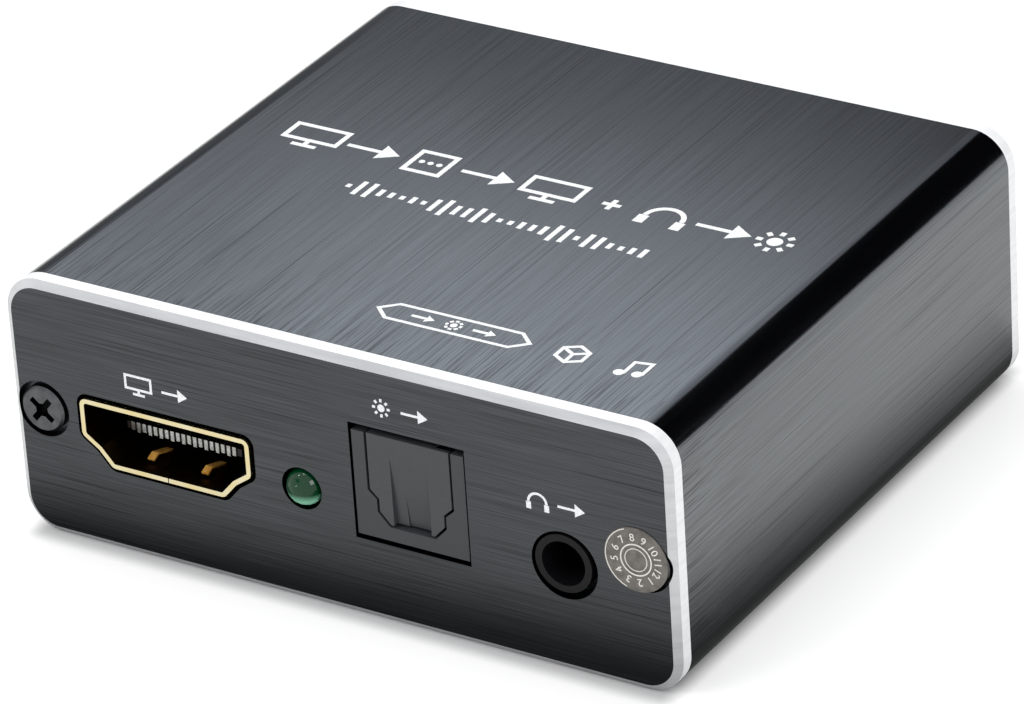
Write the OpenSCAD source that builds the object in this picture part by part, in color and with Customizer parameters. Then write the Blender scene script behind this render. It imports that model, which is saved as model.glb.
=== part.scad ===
// A small desktop box that takes the sound out of a video signal: a brushed aluminium
// tube closed by two screwed end panels, with sockets in both panels and a board inside.
// Millimetres, +Z up. The output panel faces -Y and +X is to its right.
// The origin is the middle of the underside.

/* [Case] */
// Width of the case
body_w = 57; // [56:0.5:64]
// Depth over both end panels
body_d = 52.4; // [51:0.2:60]
// Height of the case
body_h = 21.5; // [20.5:0.5:26]
// Wall of the extruded tube
wall_t = 1.5; // [1.2:0.1:1.7]
// Radius of the tube's long corners
corner_r = 3; // [2.4:0.1:3.6]
// Thickness of an end panel
panel_t = 1.5; // [1.3:0.1:1.8]
// How far a panel's bright bevel goes back from its face
bevel_depth = 0.43; // [0.2:0.01:0.6]
// How far a panel's bright bevel comes in over its face
bevel_w = 0.6; // [0.3:0.05:0.6]

/* [Panel screws] */
// Distance of a screw from the side of the case
screw_edge = 2.5; // [2.4:0.1:2.8]
// Diameter of a screw's head
screw_head_d = 3.8; // [3.4:0.1:4]
// Diameter of a screw's shank
screw_d = 1.8; // [1.6:0.1:2]
// Length of a screw under its head
screw_length = 7; // [5:0.5:10]
// Diameter of the counterbore round a head
counterbore_d = 4.65; // [4.5:0.05:4.8]
// Depth of the counterbore, which is also the height of the head
counterbore_depth = 0.9; // [0.7:0.05:1]
// Diameter of the film seal over the right front screw
seal_d = 5.2; // [4.8:0.1:5.4]

/* [Circuit board] */
// Thickness of the board
board_t = 1.6; // [1.2:0.2:1.6]
// Share of the free height inside the case that lies under the board
under_board_share = 0.65; // [0.55:0.01:0.75]

/* [Places along the panels] */
// Shares of the front panel's free width left of the video, lamp, optical and audio cuts
front_gap_shares = [0.0705, 0.1795, 0.2201, 0.4141];
// Shares of the rear panel's free width left of the video, switch and power cuts
rear_gap_shares = [0.261, 0.3171, 0.2732];

/* [Video sockets] */
// Width over a video socket's lip
video_w = 15; // [14.7:0.1:15.3]
// Height over the lip
video_h = 5.4; // [5.2:0.1:5.8]
// Length of the socket behind the panel's face
video_depth = 11.2; // [10.6:0.1:12]
// Underside of the lip above the board
video_lift = 0.8; // [0.6:0.1:1]

/* [Optical socket] */
// Width of the socket's housing behind the panel
optical_w = 9.7; // [9.5:0.1:10]
// Length of the socket behind the panel's face
optical_depth = 13.6; // [13.2:0.1:14.5]
// Width of the plug opening
mouth_w = 7.36; // [7.2:0.04:7.6]
// Thickness of the shutter
shutter_t = 0.9; // [0.7:0.05:1]
// Diameter of the shutter's hinge pin
hinge_pin_d = 0.6; // [0.5:0.05:0.65]

/* [Status lamp] */
// Diameter of the lamp's lens
lamp_d = 3; // [2.8:0.1:3.2]
// Diameter of the lamp's hole
lamp_hole_d = 3.45; // [3.4:0.05:3.7]
// Middle of the lamp above the board
lamp_lift = 3.23; // [2.8:0.01:3.6]

/* [Audio jack] */
// Bore of the audio jack
audio_bore_d = 3.6; // [3.55:0.05:3.7]
// Diameter of the jack's nose
audio_nose_d = 4.7; // [4.6:0.1:5]
// Diameter of the panel's hole round the nose
audio_hole_d = 5.5; // [5.3:0.1:5.7]
// Middle of the jack above the board
audio_lift = 2.62; // [2.5:0.01:2.8]

/* [Power jack] */
// Bore of the power jack
power_bore_d = 6.2; // [5.8:0.1:6.4]
// Diameter of its centre pin
power_pin_d = 2; // [1.9:0.1:2.5]
// Width of the power jack's housing
power_w = 9; // [8.8:0.1:9.2]
// Height of the power jack's housing, the tallest thing on the board
power_h = 11; // [10.5:0.1:11.5]
// Length of the power jack behind the panel's face
power_depth = 14; // [13.5:0.1:14.5]

/* [Mode switch] */
// Travel of the knob to each side of its middle place
switch_step = 2; // [1.8:0.1:2.1]
// Width of the switch's body
switch_w = 11.2; // [10.8:0.1:11.6]
// Width of the knob's stem
knob_w = 2.2; // [1.8:0.1:2.4]
// How far the knob stands out of the panel
knob_proud = 1; // [0.6:0.1:1.4]

/* [Hidden] */
$fn = 48;

// How far a cut runs past the face that it starts from
overrun = 1;
// Gap between a piece and the pocket that it is pressed into
press_gap = 0.03;
// Segments of a rounded corner in an outline
corner_steps = 5;

// Case
channel_r = 2.2;
channel_bore_r = 0.95;
rail_w = 1.5;
rail_t = 0.9;
board_side_gap = 0.25;
board_slot_gap = 0.15;
board_end_gap = 0.3;
board_roof_gap = 0.9;
front_y = -body_d / 2;
rear_y = body_d / 2;
inner_x = body_w / 2 - wall_t;
free_h = body_h - 2 * wall_t - board_t - power_h - board_roof_gap;
board_z = wall_t + under_board_share * free_h;
board_top = board_z + board_t;
board_w = 2 * (inner_x - board_side_gap);
board_l = body_d - 2 * (panel_t + board_end_gap);

// Panel screws: the counterbore sits a little inwards of the screw and above it
screw_drop = 0.2;
counterbore_shift = 0.15;
screw_clear_r = 1.1;
head_bevel = 0.2;
cross_l = 2.4;
cross_w = 0.5;
cross_heart = 1.05;
cross_depth = 0.6;
cross_turn = 40;
screw_tip = 0.6;
seal_t = 0.08;
seal_shift_x = 0.7;
seal_shift_z = 0.35;
screw_x = body_w / 2 - screw_edge;
screw_z = body_h / 2 - screw_drop;

// Video sockets
video_foot_w = 9.9;
video_shoulder = 2.3;
video_step_in = 1.4;
video_step_down = 0.98;
video_corner_r = 0.6;
video_gap = 0.35;
video_proud = 0.15;
video_lip_t = 0.37;
video_lip_l = 0.5;
video_sheet_t = 0.25;
video_seam = 0.08;
video_block_l = 3.8;
tongue_w = 10.2;
tongue_t = 0.6;
tongue_lift = 2.2;
tongue_recess = 2.3;
finger_w = 0.6;
finger_x = 2.4;
finger_start = 1.2;
finger_l = 2.4;
finger_rise = 0.5;
finger_t = 0.15;
tab_l = 1.5;
tab_front = 3;
tab_back = 8.6;
contact_count = 19;
contact_pitch = 0.5;
contact_w = 0.3;
contact_t = 0.12;
contact_lap = 1.2;
contact_foot = 0.9;
video_z = board_top + video_lift;
video_back = video_depth + press_gap;
video_flare = video_lip_t - video_sheet_t;

// Optical socket: heights are above the board
optical_recess = 0.1;
optical_cut_w = 9.85;
optical_cut_low = 0.31;
optical_cut_high = 9.94;
nose_w = 9.5;
nose_low = 0.65;
nose_high = 9.3;
optical_h = 10.35;
panel_gap = 0.1;
mouth_floor = 1.8;
mouth_floor_w = 3.9;
mouth_key_w = 5.9;
mouth_key_low = 2.87;
mouth_key_high = 3.87;
mouth_shoulder = 4.55;
mouth_roof = 9.45;
mouth_depth = 8.6;
hinge_lift = 8.8;
hinge_r = 0.5;
hinge_gap = 0.05;
pin_seat = 0.8;
shutter_recess = 0.12;
shutter_gap = 0.2;
ramp_left = 1.6;
ramp_right = 1.6;
ramp_top = 7.6;
ramp_depth = 0.45;
ramp_step_l = 1.05;
ramp_step_top = 6.5;
ramp_step_depth = 0.12;
spring_l = 1.1;
spring_room = 0.1;
spring_wire = 0.14;
spring_leg = 1.7;
emitter_wall = 0.8;
emitter_w = 6.8;
emitter_h = 6.8;
emitter_t = 3;
emitter_lift = 1.6;
emitter_room = 0.1;
emitter_lens_r = 1;
emitter_lens_l = 0.7;
emitter_lead_w = 0.45;
emitter_lead_pitch = 2.54;
hinge_y = shutter_recess + shutter_t;
emitter_y = mouth_depth + emitter_wall;
mouth_axis = (mouth_floor + nose_high) / 2;

// Status lamp
lamp_recess = 0.65;
lamp_back = 4.45;
lamp_flange_r = 1.9;
lamp_flange_t = 1;
lead_t = 0.5;
lead_pitch = 2.54;
lead_run = 1.2;

// Audio jack: its hole in the panel sits a little to the right of the nose and below it
audio_hole_shift_x = 0.1;
audio_hole_shift_z = -0.12;
audio_w = 6;
audio_depth = 13.4;
audio_bore_l = 12.5;
spring_sheet_t = 0.2;
audio_strip_w = 1.4;
audio_strip_l = 2;
audio_strip_run = 0.8;
audio_leg_l = 1;
audio_window_gap = 0.15;
audio_spring_starts = [3.4, 6, 8.6];
audio_spring_sides = [1, -1, 1];

// Power jack
power_lift = 6.3;
power_nose_r = 3.95;
power_hole_r = 4.1;
power_bore_l = 10.6;
power_pin_recess = 1;
power_pin_tip = 0.4;
power_shoulder = 0.3;
power_rivet_r = 0.7;
power_pin_end = 0.5;
power_tab_w = 2.6;
power_tab_t = 0.3;
power_tab_over = 1.4;
power_side_tab_y = 7.5;
power_side_tab_h = 4.4;

// Mode switch: heights are above the board
switch_front = 1.8;
switch_sheet_t = 0.3;
switch_l = 4.5;
switch_h = 4.3;
switch_floor = 1;
switch_roof = 3.7;
switch_room_l = 3.1;
switch_skirt = 0.4;
slide_gap = 0.1;
slider_w = 3.8;
slider_l = 2;
stem_h = 1.8;
window_gap = 0.2;
slot_gap = 0.4;
wiper_w = 3.4;
wiper_t = 0.12;
wiper_rise = 0.55;
wiper_dip_share = 0.25;
wiper_h = 1;
terminal_w = 0.8;
terminal_t = 0.2;
terminal_h = 1.4;
terminal_foot = 0.9;
terminal_count = 4;
switch_mid = (switch_floor + switch_roof) / 2;
switch_y = switch_front + switch_sheet_t;
slider_y = switch_y + slide_gap;
terminal_y = switch_y + switch_room_l - terminal_t;

// Chips and other parts on the board
chip_gap = 0.1;
main_chip_w = 10;
main_chip_h = 1.4;
main_chip_share = [-0.02, 0.02];
main_lead_count = 11;
main_lead_pitch = 0.8;
audio_chip_w = 3.9;
audio_chip_l = 9.9;
audio_chip_h = 1.45;
audio_chip_share = [0.24, -0.06];
audio_lead_count = 8;
audio_lead_pitch = 1.27;
chip_lead_w = 0.35;
chip_lead_t = 0.15;
chip_lead_run = 0.4;
chip_lead_foot = 0.6;
chip_notch_r = 0.5;
chip_notch_depth = 0.15;
crystal_l = 11;
crystal_w = 4.6;
crystal_h = 3.6;
crystal_share = [-0.31, -0.1];
can_r = 2.5;
can_h = 4.6;
can_base_w = 5.3;
can_base_h = 0.9;
can_base_cut = 1;
can_place_shares = [[-0.37, 0.08], [0.18, 0.16], [-0.2, 0.17]];
coil_w = 5;
coil_h = 2.6;
coil_cut = 0.9;
coil_drum_r = 1.7;
coil_drum_depth = 0.3;
coil_share = [0.38, 0.07];
small_part_l = 1;
small_part_w = 0.5;
small_part_h = 0.45;
small_part_gap = 0.4;
small_part_pitch = 2;

// Places of the sockets, in a row across each panel between the screws' counterbores
row_w = body_w - 2 * (screw_edge + counterbore_shift) - counterbore_d;
video_cut_w = video_w + 2 * video_gap;
front_widths = [video_cut_w, 2 * lamp_flange_r, optical_cut_w, audio_w];
rear_widths = [video_cut_w, switch_w + 2 * switch_sheet_t, power_w + power_tab_t];
front_places = spread(front_widths, front_gap_shares, row_w);
rear_places = spread(rear_widths, rear_gap_shares, row_w);
video_out_x = front_places[0];
lamp_x = front_places[1];
optical_x = front_places[2];
audio_x = front_places[3];
video_in_x = rear_places[0];
switch_x = rear_places[1];
power_x = rear_places[2] + power_tab_t / 2;

// Points and outlines

function unit(v) = v / norm(v);
function left_of(a, b) = let (e = unit(b - a)) [-e.y, e.x];
function mitre(m, n) = (m + n) / (1 + m * n);

// A closed outline moved inwards by d, or outwards where d is below zero
function inset(points, d) = [
    for (i = [0 : len(points) - 1])
        let (
            last = points[(i + len(points) - 1) % len(points)],
            next = points[(i + 1) % len(points)]
        )
        points[i] + d * mitre(left_of(last, points[i]), left_of(points[i], next))
];

// One corner of an outline, rounded by an arc that turns from the direction u to v
function corner(p, u, v, r, room) =
    let (
        turn = atan2(u.x * v.y - u.y * v.x, u * v),
        reach = min(r * tan(abs(turn) / 2), room),
        true_r = sign(turn) * reach / tan(abs(turn) / 2),
        start = p - reach * u,
        hub = start + true_r * [-u.y, u.x]
    )
    [
        for (k = [0 : corner_steps])
            let (a = turn * k / corner_steps, arm = start - hub)
            hub + [arm.x * cos(a) - arm.y * sin(a), arm.x * sin(a) + arm.y * cos(a)]
    ];

// A closed outline with all its corners rounded
function rounded(points, r) = [
    for (i = [0 : len(points) - 1])
        let (
            last = points[(i + len(points) - 1) % len(points)],
            next = points[(i + 1) % len(points)],
            room = min(norm(points[i] - last), norm(next - points[i])) / 2
        )
        each corner(points[i], unit(points[i] - last), unit(next - points[i]), r, room)
];

// A bent strip: the line through the points, made t thick on its left side
function strip(points, t) =
    let (ends = len(points) - 1)
    concat(points, [
        for (i = [ends : -1 : 0])
            let (
                m = left_of(points[max(i - 1, 0)], points[max(i, 1)]),
                n = left_of(points[min(i, ends - 1)], points[min(i + 1, ends)])
            )
            points[i] + t * mitre(m, n)
    ]);

// Places of a row of n things, a pitch apart, about the middle
function row(n, pitch) = [for (k = [0 : n - 1]) (k - (n - 1) / 2) * pitch];

// Sum of the first n values of a list
function sum_of(v, n) = n == 0 ? 0 : v[n - 1] + sum_of(v, n - 1);

// Middles of a row of things in a width, with a share of the free width before each
function spread(widths, shares, room) =
    let (free = room - sum_of(widths, len(widths)))
    [
        for (k = [0 : len(widths) - 1])
            free * sum_of(shares, k + 1) + sum_of(widths, k) + (widths[k] - room) / 2
    ];

// Placing and extruding

// Carries a drawing of X and Z from y0 to y1
module along_y(y0, y1) {
    translate([0, y1, 0])
        rotate([90, 0, 0])
            linear_extrude(height = y1 - y0)
                children();
}

// Carries a drawing of Y and Z from x0 to x1
module along_x(x0, x1) {
    translate([x0, 0, 0])
        rotate([90, 0, 90])
            linear_extrude(height = x1 - x0)
                children();
}

// A round bar along Y
module bar_y(r, y0, y1) {
    translate([0, y1, 0])
        rotate([90, 0, 0])
            cylinder(r = r, h = y1 - y0);
}

// A round bar along X
module bar_x(r, x0, x1) {
    translate([x0, 0, 0])
        rotate([0, 90, 0])
            cylinder(r = r, h = x1 - x0);
}

// A block from one corner to the opposite one
module block(low, high) {
    translate(low)
        cube(high - low);
}

module rounded_rect(w, h, r) {
    union() {
        square([w - 2 * r, h], center = true);
        square([w, h - 2 * r], center = true);
        for (sx = [-1, 1], sy = [-1, 1])
            translate([sx * (w / 2 - r), sy * (h / 2 - r)])
                circle(r = r);
    }
}

// On a panel, Y counts inwards from its face, and X is to the right of the front one
module at_front(x = 0, z = 0) {
    translate([x, front_y, z])
        children();
}

module at_rear(x = 0, z = 0) {
    translate([x, rear_y, z])
        rotate([0, 0, 180])
            children();
}

// On the board, at a place that is given as shares of its width and length
module on_board(share) {
    translate([share.x * board_w, share.y * board_l, board_top])
        children();
}

// Case tube: an extrusion with a screw channel and a board slot in each side

module tube_profile() {
    difference() {
        union() {
            difference() {
                rounded_rect(body_w, body_h, corner_r);
                rounded_rect(body_w - 2 * wall_t, body_h - 2 * wall_t, corner_r - wall_t);
            }
            for (side = [-1, 1]) {
                translate([side * screw_x, screw_z - body_h / 2])
                    circle(r = channel_r);
                for (z = [board_z - rail_t, board_top + board_slot_gap])
                    translate([side * (inner_x - rail_w / 2), z + rail_t / 2 - body_h / 2])
                        square([rail_w + wall_t, rail_t], center = true);
            }
        }
        for (side = [-1, 1])
            translate([side * screw_x, screw_z - body_h / 2])
                circle(r = channel_bore_r);
    }
}

module case_tube() {
    color("#3b3c3e")
    translate([0, 0, body_h / 2])
        along_y(front_y + panel_t, rear_y - panel_t)
            tube_profile();
}

// End panels: a plate with a bevel all round its face, drilled for two screws

module panel_blank() {
    half_w = body_w / 2;
    inner_w = half_w - corner_r;
    top_z = body_h - corner_r;
    for (sx = [-1, 1], z = [corner_r, top_z])
        translate([sx * inner_w, 0, z])
            rotate([-90, 0, 0])
                rotate_extrude()
                    polygon([
                        [0, 0], [corner_r - bevel_w, 0], [corner_r, bevel_depth],
                        [corner_r, panel_t], [0, panel_t]
                    ]);
    along_x(-inner_w, inner_w)
        polygon([
            [0, bevel_w], [bevel_depth, 0], [panel_t, 0],
            [panel_t, body_h], [bevel_depth, body_h], [0, body_h - bevel_w]
        ]);
    translate([0, 0, corner_r])
        linear_extrude(height = body_h - 2 * corner_r)
            polygon([
                [bevel_w - half_w, 0], [half_w - bevel_w, 0], [half_w, bevel_depth],
                [half_w, panel_t], [-half_w, panel_t], [-half_w, bevel_depth]
            ]);
}

module panel_screw_holes() {
    for (side = [-1, 1]) {
        translate([side * screw_x, 0, screw_z])
            bar_y(screw_clear_r, -overrun, panel_t + overrun);
        translate([
            side * (screw_x - counterbore_shift), 0, screw_z + counterbore_shift
        ])
            bar_y(counterbore_d / 2, -overrun, counterbore_depth);
    }
}

module front_panel() {
    color("#4a4b4d")
    at_front()
    difference() {
        panel_blank();
        panel_screw_holes();
        translate([video_out_x, 0, video_z])
            video_cut();
        translate([lamp_x, 0, board_top + lamp_lift])
            bar_y(lamp_hole_d / 2, -overrun, panel_t + overrun);
        block(
            [optical_x - optical_cut_w / 2, -overrun, board_top + optical_cut_low],
            [optical_x + optical_cut_w / 2, panel_t + overrun, board_top + optical_cut_high]
        );
        translate([
            audio_x + audio_hole_shift_x, 0, board_top + audio_lift + audio_hole_shift_z
        ])
            bar_y(audio_hole_d / 2, -overrun, panel_t + overrun);
    }
}

module rear_panel() {
    slot_w = knob_w / 2 + switch_step + slot_gap;
    slot_h = stem_h / 2 + slot_gap;
    color("#4a4b4d")
    at_rear()
    difference() {
        panel_blank();
        panel_screw_holes();
        translate([-video_in_x, 0, video_z])
            video_cut();
        translate([-power_x, 0, board_top + power_lift])
            bar_y(power_hole_r, -overrun, panel_t + overrun);
        translate([-switch_x, 0, board_top + switch_mid])
            block([-slot_w, -overrun, -slot_h], [slot_w, panel_t + overrun, slot_h]);
    }
}

// Panel screws: a flat head with a cross recess, flush with the panel's face

module panel_screw() {
    difference() {
        union() {
            rotate([-90, 0, 0])
                cylinder(
                    r1 = screw_head_d / 2 - head_bevel, r2 = screw_head_d / 2, h = head_bevel
                );
            bar_y(screw_head_d / 2, head_bevel, counterbore_depth);
            bar_y(screw_d / 2, head_bevel, counterbore_depth + screw_length - screw_tip);
            translate([0, counterbore_depth + screw_length - screw_tip, 0])
                rotate([-90, 0, 0])
                    cylinder(r1 = screw_d / 2, r2 = screw_d / 4, h = screw_tip);
        }
        rotate([0, cross_turn, 0]) {
            block(
                [-cross_l / 2, -overrun, -cross_w / 2],
                [cross_l / 2, cross_depth, cross_w / 2]
            );
            block(
                [-cross_w / 2, -overrun, -cross_l / 2],
                [cross_w / 2, cross_depth, cross_l / 2]
            );
            rotate([0, 45, 0])
                block(
                    [-cross_heart / 2, -overrun, -cross_heart / 2],
                    [cross_heart / 2, cross_depth, cross_heart / 2]
                );
        }
    }
}

module screw_pair() {
    for (side = [-1, 1])
        translate([side * screw_x, 0, screw_z])
            panel_screw();
}

module front_screws() {
    color("#55565a")
    at_front()
        screw_pair();
}

module rear_screws() {
    color("#55565a")
    at_rear()
        screw_pair();
}

module seal() {
    color("#8a8680")
    at_front(screw_x - seal_shift_x, screw_z + seal_shift_z)
        bar_y(seal_d / 2, -seal_t, 0);
}

// Circuit board, which slides into the slots of the tube

module circuit_board() {
    color("#1f5a36")
    block(
        [-board_w / 2, -board_l / 2, board_z],
        [board_w / 2, board_l / 2, board_top]
    );
}

// Video sockets: Z counts from the underside of the lip

function video_outline() =
    let (
        foot = video_foot_w / 2,
        side = video_w / 2,
        knee = [video_w / 2 - video_step_in, video_shoulder - video_step_down]
    )
    [
        [-foot, 0], [foot, 0], knee, [side, video_shoulder], [side, video_h],
        [-side, video_h], [-side, video_shoulder], [-knee.x, knee.y]
    ];

function video_path(d) =
    rounded(inset(video_outline(), d), max(video_corner_r - d, video_sheet_t / 2));

module video_cut() {
    along_y(-overrun, panel_t + overrun)
        polygon(video_path(-video_gap));
}

module video_shell() {
    side = video_w / 2 - video_flare;
    difference() {
        union() {
            along_y(-video_proud, video_lip_l)
                polygon(video_path(0));
            along_y(-video_proud, video_depth)
                polygon(video_path(video_flare));
            for (sx = [-1, 1], y = [tab_front, tab_back])
                block(
                    [sx * (side - video_sheet_t / 2) - video_sheet_t / 2, y, -video_lift],
                    [sx * (side - video_sheet_t / 2) + video_sheet_t / 2, y + tab_l, video_h / 2]
                );
        }
        along_y(-video_proud - overrun, video_depth + overrun)
            polygon(video_path(video_lip_t));
        block(
            [-video_seam / 2, -video_proud - overrun, -overrun],
            [video_seam / 2, video_depth + overrun, video_lip_t + overrun]
        );
    }
    for (x = [-finger_x, finger_x])
        along_x(x - finger_w / 2, x + finger_w / 2)
            polygon(strip([
                [finger_start, video_lip_t + finger_rise / 2],
                [finger_start + finger_l / 4, video_lip_t + finger_rise],
                [finger_start + finger_l, video_lip_t - finger_t / 2]
            ], finger_t));
}

module video_insulator() {
    tongue_top = tongue_lift + tongue_t;
    slot_w = contact_count * contact_pitch;
    difference() {
        union() {
            along_y(video_depth - video_block_l, video_depth)
                polygon(video_path(video_lip_t + press_gap));
            block(
                [-tongue_w / 2, tongue_recess, tongue_lift],
                [tongue_w / 2, video_depth - video_block_l, tongue_top]
            );
        }
        for (z = [tongue_lift - contact_t - press_gap, tongue_top])
            block(
                [-slot_w / 2, video_depth - video_block_l - overrun, z],
                [slot_w / 2, video_depth + overrun, z + contact_t + press_gap]
            );
    }
}

// Every other contact runs over the tongue, and the ones between run under it and round
// its front edge, so that all of them show as one row of teeth.
module video_contacts() {
    top = tongue_lift + tongue_t;
    foot = video_back + contact_foot;
    over = [
        [tongue_recess, tongue_lift], [tongue_recess, top],
        [video_back, top], [video_back, -video_lift], [foot, -video_lift]
    ];
    under = [
        [tongue_recess + contact_lap, top], [tongue_recess, top],
        [tongue_recess, tongue_lift], [video_back + contact_t, tongue_lift],
        [video_back + contact_t, contact_t - video_lift], [foot, contact_t - video_lift]
    ];
    places = row(contact_count, contact_pitch);
    for (k = [0 : contact_count - 1])
        along_x(places[k] - contact_w / 2, places[k] + contact_w / 2)
            polygon(k % 2 == 0 ? strip(over, contact_t) : strip(under, -contact_t));
}

module video_out_shell() {
    color("#d9c07a")
    at_front(video_out_x, video_z)
        video_shell();
}

module video_out_insulator() {
    color("#1d1a18")
    at_front(video_out_x, video_z)
        video_insulator();
}

module video_out_contacts() {
    color("#b9b9b6")
    at_front(video_out_x, video_z)
        video_contacts();
}

module video_in_shell() {
    color("#d9c07a")
    at_rear(video_in_x, video_z)
        video_shell();
}

module video_in_insulator() {
    color("#1d1a18")
    at_rear(video_in_x, video_z)
        video_insulator();
}

module video_in_contacts() {
    color("#b9b9b6")
    at_rear(video_in_x, video_z)
        video_contacts();
}

// Optical socket: Z counts from the top of the board

function mouth_outline(roof) =
    let (side = mouth_w / 2, key = mouth_key_w / 2, foot = mouth_floor_w / 2)
    [
        [-foot, mouth_floor], [foot, mouth_floor], [key, mouth_key_low],
        [key, mouth_key_high], [side, mouth_shoulder], [side, roof], [-side, roof],
        [-side, mouth_shoulder], [-key, mouth_key_high], [-key, mouth_key_low]
    ];

module optical_housing() {
    body_y = panel_t + panel_gap;
    room_w = emitter_w / 2 + emitter_room;
    color("#2f3033")
    at_front(optical_x, board_top)
    difference() {
        union() {
            block([-nose_w / 2, optical_recess, nose_low], [nose_w / 2, body_y, nose_high]);
            block([-optical_w / 2, body_y, 0], [optical_w / 2, optical_depth, optical_h]);
        }
        along_y(-overrun, mouth_depth)
            polygon(mouth_outline(mouth_roof));
        translate([0, hinge_y, hinge_lift])
            bar_x(
                hinge_pin_d / 2 + press_gap, -mouth_w / 2 - pin_seat, mouth_w / 2 + pin_seat
            );
        translate([0, 0, mouth_axis])
            bar_y(emitter_lens_r + emitter_room, mouth_depth - overrun, emitter_y + overrun);
        block(
            [-room_w, emitter_y, -overrun],
            [room_w, optical_depth + overrun, emitter_lift + emitter_h + emitter_room]
        );
    }
}

// The shutter is a plate in the shape of the mouth, with its hinge barrel behind its top
// edge. A ramp sunk in its face, deeper towards the bottom, lets a plug push it inwards.
module optical_shutter() {
    barrel_x = mouth_w / 2 - shutter_gap;
    notch_x = barrel_x - spring_l - spring_room;
    notch_r = hinge_r + spring_room;
    color("#54565a")
    at_front(optical_x, board_top)
    difference() {
        union() {
            along_y(shutter_recess, shutter_recess + shutter_t)
                polygon(inset(mouth_outline(nose_high + shutter_gap), shutter_gap));
            translate([0, hinge_y, hinge_lift])
                bar_x(hinge_r, -barrel_x, barrel_x);
        }
        translate([0, hinge_y, hinge_lift])
            bar_x(hinge_pin_d / 2 + hinge_gap, -barrel_x - overrun, barrel_x + overrun);
        block(
            [notch_x, hinge_y - notch_r, hinge_lift - notch_r],
            [barrel_x + overrun, hinge_y + overrun, hinge_lift + overrun]
        );
        along_x(-ramp_left, ramp_right)
            polygon([
                [shutter_recess, ramp_top], [shutter_recess - overrun, ramp_top],
                [shutter_recess - overrun, 0], [shutter_recess + ramp_depth, 0],
                [shutter_recess + ramp_depth, mouth_floor + shutter_gap]
            ]);
        along_x(ramp_step_l - ramp_left, ramp_right)
            polygon([
                [shutter_recess, ramp_step_top], [shutter_recess - overrun, ramp_step_top],
                [shutter_recess - overrun, 0],
                [shutter_recess + ramp_depth + ramp_step_depth, 0],
                [shutter_recess + ramp_depth + ramp_step_depth, mouth_floor + shutter_gap]
            ]);
    }
}

module shutter_pin() {
    reach = mouth_w / 2 + pin_seat;
    color("#a8a9ab")
    at_front(optical_x, board_top)
        translate([0, hinge_y, hinge_lift])
            bar_x(hinge_pin_d / 2, -reach, reach);
}

// Close-wound torsion spring round the pin, whose leg presses on the back of the shutter
module shutter_spring() {
    spring_x = mouth_w / 2 - shutter_gap - spring_l;
    bore_r = hinge_pin_d / 2 + hinge_gap;
    back = hinge_y + press_gap;
    color("#8f9093")
    at_front(optical_x, board_top) {
        translate([0, hinge_y, hinge_lift])
        difference() {
            bar_x(bore_r + spring_wire, spring_x, spring_x + spring_l);
            bar_x(bore_r, spring_x - overrun, spring_x + spring_l + overrun);
        }
        block(
            [spring_x, back, hinge_lift - spring_leg],
            [spring_x + spring_wire, back + spring_wire, hinge_lift - bore_r - spring_wire / 2]
        );
    }
}

module optical_emitter() {
    color("#26262a")
    at_front(optical_x, board_top) {
        block(
            [-emitter_w / 2, emitter_y + emitter_room, emitter_lift],
            [emitter_w / 2, emitter_y + emitter_t, emitter_lift + emitter_h]
        );
        translate([0, 0, mouth_axis])
            bar_y(emitter_lens_r, emitter_y - emitter_lens_l, emitter_y + emitter_t / 2);
    }
}

module emitter_leads() {
    lead_y = emitter_y + emitter_t / 2;
    color("#b9b9b6")
    at_front(optical_x, board_top)
    for (x = row(3, emitter_lead_pitch))
        block(
            [x - emitter_lead_w / 2, lead_y, 0],
            [x + emitter_lead_w / 2, lead_y + emitter_lead_w, emitter_lift]
        );
}

// Status lamp: a domed lens on two bent leads

module lamp_lens() {
    color("#1d6b3c")
    at_front(lamp_x, board_top + lamp_lift) {
        bar_y(lamp_d / 2, lamp_recess, lamp_back);
        bar_y(lamp_flange_r, lamp_back - lamp_flange_t, lamp_back);
        translate([0, lamp_recess, 0])
            sphere(d = lamp_d);
    }
}

module lamp_leads() {
    bend = lamp_back + lead_run;
    level = lamp_lift - lead_t / 2;
    color("#b9b9b6")
    at_front(lamp_x, board_top)
    for (x = row(2, lead_pitch))
        along_x(x - lead_t / 2, x + lead_t / 2)
            polygon(strip([[lamp_back, level], [bend, level], [bend, 0]], lead_t));
}

// Audio jack: a moulded block with a round nose, three springs in side windows

module audio_jack_housing() {
    body_y = panel_t + panel_gap;
    color("#1b1b1d")
    at_front(audio_x, board_top)
    difference() {
        union() {
            translate([0, 0, audio_lift])
                bar_y(audio_nose_d / 2, 0, body_y + overrun);
            block([-audio_w / 2, body_y, 0], [audio_w / 2, audio_depth, 2 * audio_lift]);
        }
        translate([0, 0, audio_lift])
            bar_y(audio_bore_d / 2, -overrun, audio_bore_l);
        for (k = [0 : len(audio_spring_starts) - 1])
            translate([0, audio_spring_starts[k], audio_lift])
                mirror([audio_spring_sides[k] > 0 ? 0 : 1, 0, 0])
                    block(
                        [0, -audio_window_gap, -audio_strip_w / 2 - audio_window_gap],
                        [
                            audio_w / 2 + overrun,
                            audio_strip_l + audio_strip_run + audio_window_gap,
                            audio_strip_w / 2 + audio_window_gap
                        ]
                    );
    }
}

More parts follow.
